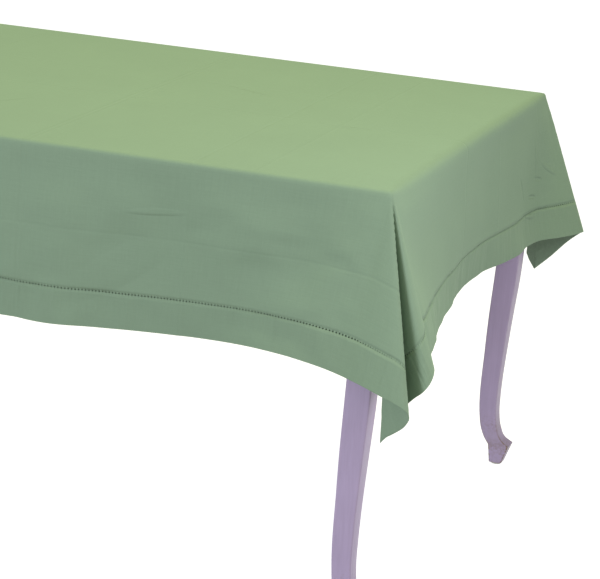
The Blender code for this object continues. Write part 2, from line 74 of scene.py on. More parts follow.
# Where the hem's edge hangs near each corner. Each row gives how far past the tabletop's corner the
# cloth was cut there, then where it hangs: past the end, past the long side, and below the top.
# The "side" rows run along a long side's hem, and the "end" rows along an end's, both to the tip.
HANGING = {
    "front_right": {
        "side": (
            (-0.95, -0.950, 0.003, 0.296),
            (-0.75, -0.750, 0.006, 0.300),
            (-0.60, -0.603, 0.004, 0.299),
            (-0.45, -0.455, 0.001, 0.293),
            (-0.30, -0.310, 0.007, 0.283),
            (-0.20, -0.216, 0.025, 0.278),
            (-0.10, -0.120, 0.049, 0.276),
            (-0.04, -0.063, 0.068, 0.278),
            (0.02, -0.010, 0.086, 0.286),
            (0.08, 0.034, 0.097, 0.297),
            (0.13, 0.067, 0.100, 0.308),
            (0.152, 0.079, 0.098, 0.316),
            (0.165, 0.081, 0.089, 0.326),
            (0.19, 0.072, 0.073, 0.345),
            (0.235, 0.046, 0.054, 0.370),
            (0.258, 0.035, 0.046, 0.379),
            (0.275, 0.025, 0.040, 0.391),
        ),
        "end": (
            (-0.50, 0.002, -0.500, 0.266),
            (-0.40, 0.013, -0.402, 0.268),
            (-0.30, 0.026, -0.306, 0.268),
            (-0.22, 0.036, -0.228, 0.269),
            (-0.13, 0.048, -0.146, 0.268),
            (-0.06, 0.060, -0.084, 0.265),
            (0.00, 0.074, -0.030, 0.262),
            (0.045, 0.089, 0.004, 0.262),
            (0.080, 0.098, 0.026, 0.266),
            (0.105, 0.101, 0.044, 0.273),
            (0.128, 0.099, 0.058, 0.282),
            (0.150, 0.091, 0.062, 0.293),
            (0.172, 0.079, 0.056, 0.304),
            (0.200, 0.063, 0.047, 0.322),
            (0.250, 0.042, 0.040, 0.358),
            (0.295, 0.025, 0.040, 0.391),
        ),
    },
    "back_right": {
        "side": (
            (-0.95, -0.950, 0.003, 0.296),
            (-0.60, -0.600, 0.008, 0.295),
            (-0.40, -0.403, 0.003, 0.294),
            (-0.25, -0.258, 0.010, 0.292),
            (-0.12, -0.137, 0.042, 0.288),
            (-0.03, -0.053, 0.080, 0.286),
            (0.05, 0.010, 0.104, 0.288),
            (0.11, 0.046, 0.110, 0.298),
            (0.15, 0.022, 0.105, 0.312),
            (0.19, -0.022, 0.092, 0.331),
            (0.235, -0.022, 0.088, 0.347),
            (0.275, -0.008, 0.086, 0.367),
        ),
        "end": (
            (-0.50, 0.002, -0.500, 0.266),
            (-0.40, 0.003, -0.400, 0.265),
            (-0.30, 0.015, -0.303, 0.267),
            (-0.21, 0.022, -0.215, 0.269),
            (-0.13, 0.024, -0.135, 0.269),
            (-0.065, 0.036, -0.072, 0.269),
            (-0.02, 0.062, -0.040, 0.267),
            (0.02, 0.084, -0.014, 0.264),
            (0.055, 0.097, 0.008, 0.261),
            (0.075, 0.095, 0.022, 0.263),
            (0.10, 0.085, 0.042, 0.272),
            (0.14, 0.062, 0.060, 0.293),
            (0.22, 0.024, 0.078, 0.335),
            (0.295, -0.008, 0.086, 0.367),
        ),
    },
    "front_left": {
        "side": (
            (-0.95, -0.950, 0.003, 0.296),
            (-0.60, -0.602, 0.000, 0.296),
            (-0.35, -0.356, 0.010, 0.293),
            (-0.20, -0.214, 0.030, 0.288),
            (-0.08, -0.099, 0.058, 0.284),
            (0.02, -0.010, 0.082, 0.285),
            (0.09, 0.046, 0.092, 0.295),
            (0.135, 0.074, 0.089, 0.310),
            (0.160, 0.077, 0.077, 0.326),
            (0.21, 0.058, 0.058, 0.358),
            (0.275, 0.024, 0.036, 0.393),
        ),
        "end": (
            (-0.50, 0.002, -0.500, 0.274),
            (-0.30, 0.004, -0.303, 0.273),
            (-0.18, 0.018, -0.190, 0.270),
            (-0.08, 0.044, -0.103, 0.266),
            (0.02, 0.074, -0.022, 0.263),
            (0.09, 0.094, 0.034, 0.268),
            (0.130, 0.096, 0.058, 0.281),
            (0.160, 0.084, 0.062, 0.303),
            (0.22, 0.054, 0.050, 0.344),
            (0.295, 0.024, 0.036, 0.393),
        ),
    },
    "back_left": {
        "side": (
            (-0.95, -0.950, 0.003, 0.296),
            (-0.60, -0.600, 0.006, 0.295),
            (-0.32, -0.326, 0.004, 0.293),
            (-0.16, -0.174, 0.026, 0.289),
            (-0.05, -0.070, 0.056, 0.285),
            (0.05, 0.018, 0.086, 0.288),
            (0.115, 0.062, 0.096, 0.301),
            (0.150, 0.073, 0.087, 0.320),
            (0.20, 0.058, 0.070, 0.350),
            (0.275, 0.022, 0.048, 0.390),
        ),
        "end": (
            (-0.50, 0.002, -0.500, 0.274),
            (-0.28, 0.002, -0.283, 0.274),
            (-0.16, 0.014, -0.170, 0.272),
            (-0.06, 0.042, -0.082, 0.267),
            (0.03, 0.074, -0.010, 0.264),
            (0.085, 0.096, 0.034, 0.268),
            (0.120, 0.098, 0.056, 0.280),
            (0.155, 0.084, 0.066, 0.302),
            (0.22, 0.050, 0.060, 0.346),
            (0.295, 0.022, 0.048, 0.390),
        ),
    },
}

# Creases pressed in when the cloth lay folded: place on the flat cloth, and depth of the bend in mm
FOLDS_ACROSS = (
    (-0.800, 1.6),
    (-0.440, -1.2),
    (-0.120, 1.0),
    (0.281, -1.7),
    (0.291, -1.3),
    (0.573, 1.6),
    (0.678, -1.1),
)
FOLDS_ALONG = ((-0.635, -1.3), (-0.056, -2.2), (0.172, 1.2), (0.430, -0.9), (0.655, 1.4))

# Small wrinkles: place on the flat cloth, direction in degrees, length, width and height in mm
WRINKLES = (
    (1.085, 0.400, 83, 0.024, 0.005, -1.6),
    (1.055, 0.430, 80, 0.020, 0.005, -1.2),
    (1.010, 0.420, 5, 0.040, 0.007, 1.2),
    (1.120, 0.385, 78, 0.028, 0.006, 1.1),
    (1.060, 0.330, 40, 0.040, 0.007, -0.9),
    (1.040, 0.470, 60, 0.034, 0.006, 1.0),
    (0.690, -0.070, 11, 0.055, 0.004, 0.7),
    (0.430, 0.140, -24, 0.075, 0.004, 0.6),
    (0.120, -0.230, 62, 0.070, 0.004, -0.6),
    (-0.300, 0.050, 15, 0.080, 0.004, 0.6),
    (0.520, -0.590, 4, 0.060, 0.007, 1.0),
    (0.460, -0.690, 32, 0.120, 0.034, 1.5),
    (-0.350, -0.640, 4, 0.080, 0.006, 0.8),
)

FOLD_REACH = 0.024  # how far from a crease the cloth still leans
RIPPLE_HEIGHT = 0.0026  # soft unevenness of the hanging cloth
HEM_RIPPLE_HEIGHT = 0.0006
MOST_SETTLING = 0.006  # the furthest that the simulation may move the cloth
STAND_OFF = 0.0003  # air between the cloth and the tabletop, and between a hem's layers

LEG_ARRIS = 0.0032
ARRIS_WEAR = (0.0, 0.7, 1.0, 0.7, 0.0)  # one for each point round a rounded arris

# Sections up a leg: how far up from the toe to the top, the middle's setback from the tabletop's
# corner, and the width. The foot and the toe come below them.
LEG_FOOT = (0.0033, 0.0200, 0.0250)
LEG_TOE = (0.0400, 0.0160, 0.0410)
LEG_SECTIONS = (
    (0.018, 0.0250, 0.0350),
    (0.052, 0.0335, 0.0335),
    (0.096, 0.0380, 0.0335),
    (0.148, 0.0395, 0.0350),
    (0.207, 0.0390, 0.0360),
    (0.266, 0.0375, 0.0370),
    (0.340, 0.0355, 0.0392),
    (0.414, 0.0330, 0.0412),
    (0.503, 0.0295, 0.0430),
    (0.592, 0.0275, 0.0430),
    (0.710, 0.0275, 0.0430),
    (0.828, 0.0285, 0.0430),
    (1.000, 0.0285, 0.0430),
)


class ClothSettings(bpy.types.PropertyGroup):
    side_drop: FloatProperty(
        name="Side drop", description="Cloth cut past a long side", default=0.295, unit="LENGTH"
    )
    end_drop: FloatProperty(
        name="End drop", description="Cloth cut past an end", default=0.275, unit="LENGTH"
    )
    hem_width: FloatProperty(
        name="Hem width", description="Edge of the cloth to the hemstitch", default=0.060, unit="LENGTH"
    )
    stitch_gap: FloatProperty(
        name="Hemstitch gap", description="Width of the drawn threads", default=0.0023, unit="LENGTH"
    )
    stitch_pitch: FloatProperty(
        name="Hemstitch pitch", description="From one hole to the next", default=0.0058, unit="LENGTH"
    )
    thickness: FloatProperty(
        name="Cloth thickness", description="One layer of the cloth", default=0.0006, unit="LENGTH"
    )
    side_bend: FloatProperty(
        name="Side bend", description="Half of the bend over a long edge", default=0.0060, unit="LENGTH"
    )
    end_bend: FloatProperty(
        name="End bend", description="Half of the bend over an end", default=0.018, unit="LENGTH"
    )
    settle_frames: IntProperty(
        name="Settling frames", description="Frames of cloth simulation", default=24, min=0
    )


class FinishSettings(bpy.types.PropertyGroup):
    cloth: FloatVectorProperty(
        name="Cloth", description="Dyed cotton", subtype="COLOR", default=(0.245, 0.345, 0.244)
    )
    paint: FloatVectorProperty(
        name="Paint", description="Paint of the table", subtype="COLOR", default=(0.440, 0.345, 0.540)
    )
    wood: FloatVectorProperty(
        name="Wood", description="Bare hardwood", subtype="COLOR", default=(0.420, 0.270, 0.150)
    )
    steel: FloatVectorProperty(
        name="Steel", description="Plated hardware", subtype="COLOR", default=(0.620, 0.630, 0.640)
    )
    glide: FloatVectorProperty(
        name="Glide", description="Nylon under the feet", subtype="COLOR", default=(0.600, 0.580, 0.530)
    )


class StageSettings(bpy.types.PropertyGroup):
    camera_place: FloatVectorProperty(
        name="Camera place", description="Where the camera stands", unit="LENGTH",
        default=(HALF_LENGTH + 1.043, -HALF_WIDTH - 3.639, TOP_LEVEL + 0.847),
    )
    pitch: FloatProperty(
        name="Pitch", description="How far down the camera looks", subtype="ANGLE",
        default=math.radians(14.98),
    )
    yaw: FloatProperty(
        name="Yaw", description="How far it turns from +Y towards -X", subtype="ANGLE",
        default=math.radians(17.92),
    )
    roll: FloatProperty(
        name="Roll", description="How far it leans", subtype="ANGLE", default=math.radians(4.1)
    )
    lens: FloatProperty(name="Lens", description="Focal length", default=151.3, unit="CAMERA")


# Numbers ------------------------------------------------------------------------------------------


def smooth_through(keys, at):
    """A smooth curve through rows of (place, values...), read at an array of places."""
    keys = np.array(keys, float)
    x, y = keys[:, 0], keys[:, 1:]
    slope = np.diff(y, axis=0) / np.diff(x)[:, None]
    step = np.diff(x)[:, None]
    middle = (slope[:-1] * step[1:] + slope[1:] * step[:-1]) / (step[1:] + step[:-1])
    tangent = np.vstack([slope[:1], middle, slope[-1:]])
    at = np.clip(at, x[0], x[-1])
    i = np.clip(np.searchsorted(x, at) - 1, 0, len(x) - 2)
    h = (x[i + 1] - x[i])[..., None]
    t = (at - x[i])[..., None] / h
    return (
        (1 + 2 * t) * (1 - t) ** 2 * y[i]
        + t * (1 - t) ** 2 * h * tangent[i]
        + t * t * (3 - 2 * t) * y[i + 1]
        + t * t * (t - 1) * h * tangent[i + 1]
    )


def smooth_step(x):
    x = np.clip(x, 0, 1)
    return x * x * (3 - 2 * x)


def ripple(u, v, seed, finest, coarsest):
    """A smooth random field over the cloth: a sum of plane waves, about one high, from the finest
    wavelength to the coarsest."""
    waves = 9
    random = np.random.default_rng(seed)
    total = np.zeros(np.broadcast(u, v).shape)
    for _ in range(waves):
        length = math.exp(random.uniform(math.log(finest), math.log(coarsest)))
        angle = random.uniform(0, math.pi)
        phase = random.uniform(0, 2 * math.pi)
        along = u * math.cos(angle) + v * math.sin(angle)
        total = total + np.sin(2 * math.pi * along / length + phase)
    return total / math.sqrt(waves)


# The cloth's shape --------------------------------------------------------------------------------


class Drape:
    """Where each point of the flat cloth hangs. u runs along the table and v across it."""

    def __init__(self, cloth):
        self.side_drop = cloth.side_drop
        self.end_drop = cloth.end_drop
        self.side_bend = cloth.side_bend
        self.end_bend = cloth.end_bend
        self.half_u = HALF_LENGTH + cloth.end_drop
        self.half_v = HALF_WIDTH + cloth.side_drop
        self.layer = cloth.thickness
        self.end_out = 0.0035
        self.side_out = 0.0012
        self.settled = None

    def hanging(self, s, t, corner):
        """Past the end, past the side and below the top, with sharp edges. s and t are flat distances
        past the tabletop's edges."""
        rows = HANGING[corner]
        out = np.stack([np.minimum(s, 0), np.minimum(t, 0), np.zeros_like(s)], -1)
        side = (t > 0) & (s <= 0)
        share = (t[side] / self.side_drop)[..., None]
        edge = np.stack([s[side], 0 * s[side], 0 * s[side]], -1)
        out[side] = edge + share * (smooth_through(rows["side"], s[side]) - edge)
        end = (s > 0) & (t <= 0)
        share = (s[end] / self.end_drop)[..., None]
        edge = np.stack([0 * t[end], t[end], 0 * t[end]], -1)
        out[end] = edge + share * (smooth_through(rows["end"], t[end]) - edge)
        fan = (s > 0) & (t > 0)
        on_side = fan & (s * self.side_drop <= t * self.end_drop)
        reach = s[on_side] / t[on_side] * self.side_drop
        out[on_side] = (t[on_side] / self.side_drop)[..., None] * smooth_through(rows["side"], reach)
        on_end = fan & ~on_side
        reach = t[on_end] / s[on_end] * self.end_drop
        out[on_end] = (s[on_end] / self.end_drop)[..., None] * smooth_through(rows["end"], reach)
        out[..., 0] += np.where(s > 0, self.end_out, self.end_out * np.exp(s / 0.05))
        out[..., 1] += np.where(t > 0, self.side_out, self.side_out * np.exp(t / 0.05))
        return out

    def sharp(self, u, v):
        """The drape before its bends are rounded, in the model's frame."""
        place = np.zeros(u.shape + (3,))
        for corner, (sx, sy) in CORNERS.items():
            here = (np.sign(u + 1e-12) == sx) & (np.sign(v + 1e-12) == sy)
            s, t = np.abs(u[here]) - HALF_LENGTH, np.abs(v[here]) - HALF_WIDTH
            local = self.hanging(s, t, corner)
            place[here, 0] = sx * (HALF_LENGTH + local[..., 0])
            place[here, 1] = sy * (HALF_WIDTH + local[..., 1])
            place[here, 2] = TOP_LEVEL + 0.6 * self.layer + STAND_OFF - local[..., 2]
        return place

    def base(self, u, v):
        """The drape with its bends rounded: a running mean of the sharp one, wide at the table's edges."""
        s, t = np.abs(u) - HALF_LENGTH, np.abs(v) - HALF_WIDTH
        middle = 1 - np.clip(np.abs(v) / HALF_WIDTH, 0, 1) ** 2
        end_bend = self.end_bend * (0.8 + 0.2 * middle)
        end_bend = end_bend - 0.6 * self.end_bend * np.exp(-((np.maximum(-t, 0) / 0.035) ** 2))
        near_end = 1 - smooth_step((np.abs(s) - end_bend) / (2 * end_bend))
        near_side = 1 - smooth_step((np.abs(t) - self.side_bend) / (2 * self.side_bend))
        fine = 0.0020
        wide_u = fine + (end_bend - fine) * near_end
        wide_v = fine + (self.side_bend - fine) * near_side
        points = np.linspace(-1, 1, 7)
        weight = np.full(7, 1.0)
        weight[[0, -1]] = 0.5
        weight /= weight.sum()
        total = np.zeros(u.shape + (3,))
        for du, wu in zip(points, weight):
            for dv, wv in zip(points, weight):
                total += wu * wv * self.sharp(
                    np.clip(u + du * wide_u, -self.half_u, self.half_u),
                    np.clip(v + dv * wide_v, -self.half_v, self.half_v),
                )
        return total

    def at(self, u, v):
        u, v = np.broadcast_arrays(np.asarray(u, float), np.asarray(v, float))
        place = self.base(u, v)
        if self.settled is not None:
            place = place + self.settled(u, v)
        return place

    def normal(self, u, v, step=0.0015):
        """The outward normal: up on the top, and out on the sides."""
        du = self.at(u + step, v) - self.at(u - step, v)
        dv = self.at(u, v + step) - self.at(u, v - step)
        across = np.cross(du, dv)
        return across / np.maximum(np.linalg.norm(across, axis=-1, keepdims=True), 1e-12)

    def relief(self, u, v):
        """How far pressed creases and puckers stand out of the smooth drape."""
        s, t = np.abs(u) - HALF_LENGTH, np.abs(v) - HALF_WIDTH
        from_edge = np.minimum(self.half_u - np.abs(u), self.half_v - np.abs(v))
        hanging = smooth_step((np.maximum(s, t) - 0.01) / 0.04)
        folds = 0.0
        for place, lines in ((u, FOLDS_ACROSS), (v, FOLDS_ALONG)):
            for line, deep in lines:
                folds = folds + 0.001 * deep * np.exp(-np.abs(place - line) / FOLD_REACH)
        height = RIPPLE_HEIGHT * ripple(u, v, 5, finest=0.16, coarsest=0.45) + folds
        hem = smooth_step((0.075 - from_edge) / 0.03)
        height = height + hem * HEM_RIPPLE_HEIGHT * ripple(u, v, 8, finest=0.05, coarsest=0.15)
        in_corner = smooth_step((np.minimum(s, t) + 0.03) / 0.04)
        height = height * hanging * (1 - in_corner)
        # on the top a crease can only stand up
        height = height + 0.25 * np.abs(folds) * smooth_step(-np.maximum(s, t) / 0.04)
        return height


def grid_lines(half, edge, coarse, fine):
    """Places of the mesh lines across the cloth, close together past the table's edge."""
    inner = edge - 0.045
    count = max(2, round(2 * inner / coarse))
    middle = np.linspace(-inner, inner, count + 1)
    outer = np.linspace(inner, half, round((half - inner) / fine) + 1)[1:]
    return np.concatenate([-outer[::-1], middle, outer])


def grid_faces(rows, columns):
    index = np.arange(rows * columns).reshape(rows, columns)
    quads = (index[:-1, :-1], index[1:, :-1], index[1:, 1:], index[:-1, 1:])
    return np.stack(quads, -1).reshape(-1, 4)


def mesh_from(name, points, faces, uv=None):
    """A smooth-shaded mesh from arrays. uv gives each point its place on the flat cloth."""
    mesh = bpy.data.meshes.new(name)
    points = np.asarray(points, float).reshape(-1, 3)
    mesh.from_pydata(points.tolist(), [], faces.tolist() if isinstance(faces, np.ndarray) else faces)
    mesh.update()
    if uv is not None:
        layer = mesh.uv_layers.new(name="weave")
        corners = np.zeros(len(mesh.loops), np.int32)
        mesh.loops.foreach_get("vertex_index", corners)
        layer.data.foreach_set("uv", np.asarray(uv, np.float32).reshape(-1, 2)[corners].ravel())
    mesh.shade_smooth()
    return mesh


def add_piece(name, mesh, body, replaced):
    ob = bpy.data.objects.new(name, mesh)
    bpy.context.collection.objects.link(ob)
    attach(ob, body)
    if replaced:
        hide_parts(*replaced)
    return ob


def settle(drape, cloth):
    """Lets the draped cloth settle under its own weight, and keeps how far each point moved."""
    us = grid_lines(drape.half_u, HALF_LENGTH, 0.030, 0.014)
    vs = grid_lines(drape.half_v, HALF_WIDTH, 0.030, 0.014)
    u, v = np.meshgrid(us, vs, indexing="ij")
    start = drape.base(u, v)
    ob = bpy.data.objects.new("settling", mesh_from("settling", start, grid_faces(*u.shape)))
    bpy.context.collection.objects.link(ob)
    hold = ob.vertex_groups.new(name="hold")
    s, t = np.abs(u) - HALF_LENGTH, np.abs(v) - HALF_WIDTH
    below = np.clip(np.maximum(s, t) / 0.03, 0, 1)
    corner = np.clip(np.minimum(s, t) / 0.05 + 1, 0, 1)
    weight = np.maximum(1 - below, 0.06 + 0.5 * corner).ravel()
    for index, amount in enumerate(weight):
        hold.add([index], float(amount), "REPLACE")
    modifier = ob.modifiers.new("settling", "CLOTH")
    fabric = modifier.settings
    fabric.quality = 8
    fabric.mass = 0.0008
    fabric.tension_stiffness = 40
    fabric.compression_stiffness = 40
    fabric.shear_stiffness = 8
    fabric.bending_stiffness = 0.5
    fabric.air_damping = 3
    fabric.vertex_group_mass = "hold"
    fabric.pin_stiffness = 0.4
    fabric.shrink_min = -0.012
    modifier.collision_settings.use_collision = False
    modifier.collision_settings.use_self_collision = False
    scene = bpy.context.scene
    for number in range(1, cloth.settle_frames + 2):
        scene.frame_set(number)
    graph = bpy.context.evaluated_depsgraph_get()
    moved = np.zeros(u.size * 3, np.float32)
    ob.evaluated_get(graph).data.vertices.foreach_get("co", moved)
    scene.frame_set(1)
    bpy.data.objects.remove(ob)
    shift = moved.reshape(start.shape).astype(float) - start
    size = np.linalg.norm(shift, axis=-1, keepdims=True)
    shift *= np.minimum(1, MOST_SETTLING / np.maximum(size, 1e-9))
    free = smooth_step((np.maximum(s, t) - 0.03) / 0.08) * np.where(s > t, 0.35, 1.0)
    free = free * (1 - 0.75 * smooth_step((np.minimum(s, t) + 0.08) / 0.08))
    shift *= free[..., None]
    drape.settled = field_through(us, vs, shift)


def field_through(us, vs, values):
    """A function that reads a grid of values at any place, smoothly in both directions."""

    def weights(lines, at):
        i = np.clip(np.searchsorted(lines, at) - 1, 0, len(lines) - 2)
        t = np.clip((at - lines[i]) / (lines[i + 1] - lines[i]), 0, 1)
        low, high = np.maximum(i - 1, 0), np.minimum(i + 2, len(lines) - 1)
        w = (
            (1 - t) ** 3 / 6,
            (3 * t**3 - 6 * t**2 + 4) / 6,
            (-3 * t**3 + 3 * t**2 + 3 * t + 1) / 6,
            t**3 / 6,
        )
        return (low, i, i + 1, high), w

    def read(u, v):
        rows, wu = weights(us, u)
        columns, wv = weights(vs, v)
        total = np.zeros(np.shape(u) + (values.shape[-1],))
        for row, a in zip(rows, wu):
            for column, b in zip(columns, wv):
                total += (a * b)[..., None] * values[row, column]
        return total

    return read


def laid(drape, u, v, out=0.0):
    """Points on the cloth at flat places, a distance out from its middle."""
    place = drape.at(u, v)
    height = drape.relief(u, v) + out
    return place + drape.normal(u, v) * np.asarray(height)[..., None]


def make_panel(drape, cloth):
    """The cloth inside its hemstitch, as one sheet with two faces."""
    edge_u = drape.half_u - cloth.hem_width - cloth.stitch_gap
    edge_v = drape.half_v - cloth.hem_width - cloth.stitch_gap
    us = grid_lines(edge_u, HALF_LENGTH, 0.0125, 0.0055)
    vs = grid_lines(edge_v, HALF_WIDTH, 0.025, 0.0055)
    u, v = np.meshgrid(us, vs, indexing="ij")
    points = laid(drape, u, v)
    mesh = mesh_from("cloth", points, grid_faces(*u.shape), np.stack([u, v], -1))
    thick = add_piece("cloth", mesh, "tablecloth", ["cloth_panel"])
    add_thickness(thick, cloth.thickness)
    return thick


def add_thickness(ob, thickness):
    solid = ob.modifiers.new("thickness", "SOLIDIFY")
    solid.thickness = thickness
    solid.offset = 0
    bpy.context.view_layer.objects.active = ob
    with bpy.context.temp_override(object=ob, active_object=ob, selected_objects=[ob]):
        bpy.ops.object.modifier_apply(modifier=solid.name)


def side_strip(drape, side, depths, spacing, lead=0.075):
    """Flat places over a strip along one side, mitred at its ends. depths are from the cloth's edge."""
    along_u = side in ("front", "back")
    half, across = (drape.half_u, drape.half_v) if along_u else (drape.half_v, drape.half_u)
    outward = -1 if side in ("front", "left") else 1
    inner = half - lead
    lines = np.linspace(-inner, inner, round(2 * inner / spacing) + 1)
    rest = np.linspace(0, 1, round(lead / (spacing * 0.9)) + 1)[1:]
    places_along, places_across = [], []
    for depth in depths:
        tail = inner + rest * (half - depth - inner)
        places_along.append(np.concatenate([-tail[::-1], lines, tail]))
        places_across.append(np.full(len(lines) + 2 * len(rest), outward * (across - depth)))
    along, across_places = np.array(places_along), np.array(places_across)
    return (along, across_places) if along_u else (across_places, along)


def make_hem(drape, cloth, side):
    """The hem of one side: the cloth folded double, from the hemstitch round the edge and back."""
    width, layer = cloth.hem_width, cloth.thickness
    depths, outs = [], []
    for depth in np.concatenate([np.linspace(width, 0.006, 10), [0.003, 0.0012]]):
        depths.append(depth)
        outs.append(layer * 0.5)
    for angle in np.linspace(90, -90, 7):
        depths.append(0.0006 - 0.0006 * math.cos(math.radians(angle)))
        outs.append(layer * 0.5 * math.sin(math.radians(angle)))
    for depth in np.concatenate([[0.0012, 0.003], np.linspace(0.006, width - 0.006, 9)]):
        depths.append(depth)
        outs.append(-layer - STAND_OFF)
    # the turned-under edge stands off behind the holes of the hemstitch
    for depth, out in ((0.0025, 0.0018), (-0.0010, 0.0030), (-0.0045, 0.0030), (-0.0075, 0.0022)):
        depths.append(width - depth)
        outs.append(-out)
    u, v = side_strip(drape, side, depths, 0.0065)
    out = np.broadcast_to(np.array(outs)[:, None], u.shape)
    points = laid(drape, u, v, out)
    faces = grid_faces(*u.shape)
    mesh = mesh_from("folded_hem_" + side, points, faces, np.stack([u, v], -1))
    ob = add_piece("folded_hem_" + side, mesh, "tablecloth", ["hem_" + side])
    add_thickness(ob, layer * 0.8)
    return ob


def make_hemstitch(drape, cloth, side):
    """The ladder of thread bundles that spans the drawn threads between the cloth and its hem."""
    low = cloth.hem_width - 0.0008
    high = cloth.hem_width + cloth.stitch_gap + 0.0008
    levels = np.linspace(low, high, 5)
    u, v = side_strip(drape, side, levels, cloth.stitch_pitch)
    middle = laid(drape, u, v)
    out = drape.normal(u, v)
    along = np.gradient(middle, axis=1)
    along /= np.maximum(np.linalg.norm(along, axis=-1, keepdims=True), 1e-9)
    waist = np.array([0.97, 0.74, 0.62, 0.74, 0.97]) * cloth.stitch_pitch / 2
    ring = 6
    points, faces = [], []
    levels_count, bundles = u.shape
    for bundle in range(bundles):
        first = len(points)
        for level in range(levels_count):
            for k in range(ring):
                angle = 2 * math.pi * k / ring
                sideways = along[level, bundle] * math.cos(angle) * waist[level]
                outwards = out[level, bundle] * math.sin(angle) * 0.0004
                points.append(middle[level, bundle] + sideways + outwards)
        for level in range(levels_count - 1):
            for k in range(ring):
                a, b = first + level * ring + k, first + level * ring + (k + 1) % ring
                faces.append((a, b, b + ring, a + ring))
        faces.append(tuple(first + k for k in reversed(range(ring))))
        faces.append(tuple(first + (levels_count - 1) * ring + k for k in range(ring)))
    mesh = mesh_from("stitch_ladder_" + side, points, faces)
    return add_piece("stitch_ladder_" + side, mesh, "tablecloth", ["hemstitch_" + side])


def outline(setback, width):
    """A square section with rounded arrises, in the corner's frame."""
    half, arris = width / 2, LEG_ARRIS
    steps = len(ARRIS_WEAR) - 1
    points = []
    for turns, (sx, sy) in enumerate(((1, 1), (-1, 1), (-1, -1), (1, -1))):
        for step in range(steps + 1):
            angle = (turns + step / steps) * math.pi / 2
            x = sx * (half - arris) + arris * math.cos(angle)
            y = sy * (half - arris) + arris * math.sin(angle)
            points.append((setback + x, setback + y))
    return points


def make_leg(corner):
    """One cabriole leg, lofted smoothly from its toe to the underside of the top."""
    sx, sy = CORNERS[corner]
    top = TOP_LOW.z - 0.0003
    keys = [(LEG_TOE[0],) + LEG_TOE[1:]]
    for share, setback, width in LEG_SECTIONS:
        keys.append((LEG_TOE[0] + share * (top - LEG_TOE[0]), setback, width))
    heights = [LEG_FOOT[0], LEG_FOOT[0] + 0.0015]
    heights += list(np.linspace(LEG_FOOT[0] + 0.004, LEG_TOE[0] - 0.002, 6))
    heights += list(np.linspace(LEG_TOE[0], 0.12, 20)) + list(np.linspace(0.13, top, 44))
    rows = []
    for z in heights:
        if z < LEG_TOE[0]:
            share = (z - LEG_FOOT[0]) / (LEG_TOE[0] - LEG_FOOT[0])
            setback = LEG_FOOT[1] + share * (LEG_TOE[1] - LEG_FOOT[1])
            width = LEG_FOOT[2] + share * (LEG_TOE[2] - LEG_FOOT[2])
            if z == heights[0]:
                width -= 0.0015
        else:
            setback, width = smooth_through(keys, np.array([z]))[0]
        rows.append([(x, y, z) for x, y in outline(setback, width)])
    points, faces = [], []
    count = len(rows[0])
    for row in rows:
        for x, y, z in row:
            points.append((sx * (HALF_LENGTH - x), sy * (HALF_WIDTH - y), z))
    for r in range(len(rows) - 1):
        for k in range(count):
            a, b = r * count + k, r * count + (k + 1) % count
            faces.append((a, b, b + count, a + count))
    bm = bmesh.new()
    made = [bm.verts.new(p) for p in points]
    for face in faces:
        bm.faces.new([made[i] for i in face])
    bm.faces.new([made[k] for k in range(count)])
    bm.faces.new([made[(len(rows) - 1) * count + k] for k in range(count)])
    bmesh.ops.recalc_face_normals(bm, faces=bm.faces)
    mesh = bpy.data.meshes.new("painted_leg_" + corner)
    bm.to_mesh(mesh)
    bm.free()
    arris = mesh.attributes.new("arris", "FLOAT", "POINT")
    arris.data.foreach_set("value", ARRIS_WEAR * (count // len(ARRIS_WEAR)) * len(rows))
    mesh.shade_smooth()
    mesh.set_sharp_from_angle(angle=math.radians(40))
    return add_piece("painted_leg_" + corner, mesh, "table", ["leg_" + corner])


# Materials ----------------------------------------------------------------------------------------


class Wire:
    """A shader socket that can be used in sums: an expression on wires adds its Math nodes."""

    def __init__(self, board, socket):
        self.board = board
        self.socket = socket

    def sum(self, operation, first, second):
        return self.board.add("ShaderNodeMath", {"operation": operation}, {0: first, 1: second})

    def __add__(self, other):
        return self.sum("ADD", self, other)

    def __radd__(self, other):
        return self.sum("ADD", other, self)

    def __sub__(self, other):
        return self.sum("SUBTRACT", self, other)

    def __rsub__(self, other):
        return self.sum("SUBTRACT", other, self)

    def __mul__(self, other):
        return self.sum("MULTIPLY", self, other)

    def __rmul__(self, other):
        return self.sum("MULTIPLY", other, self)

    def __pow__(self, other):
        return self.sum("POWER", self, other)

    def __abs__(self):
        return self.sum("ABSOLUTE", self, 0.0)


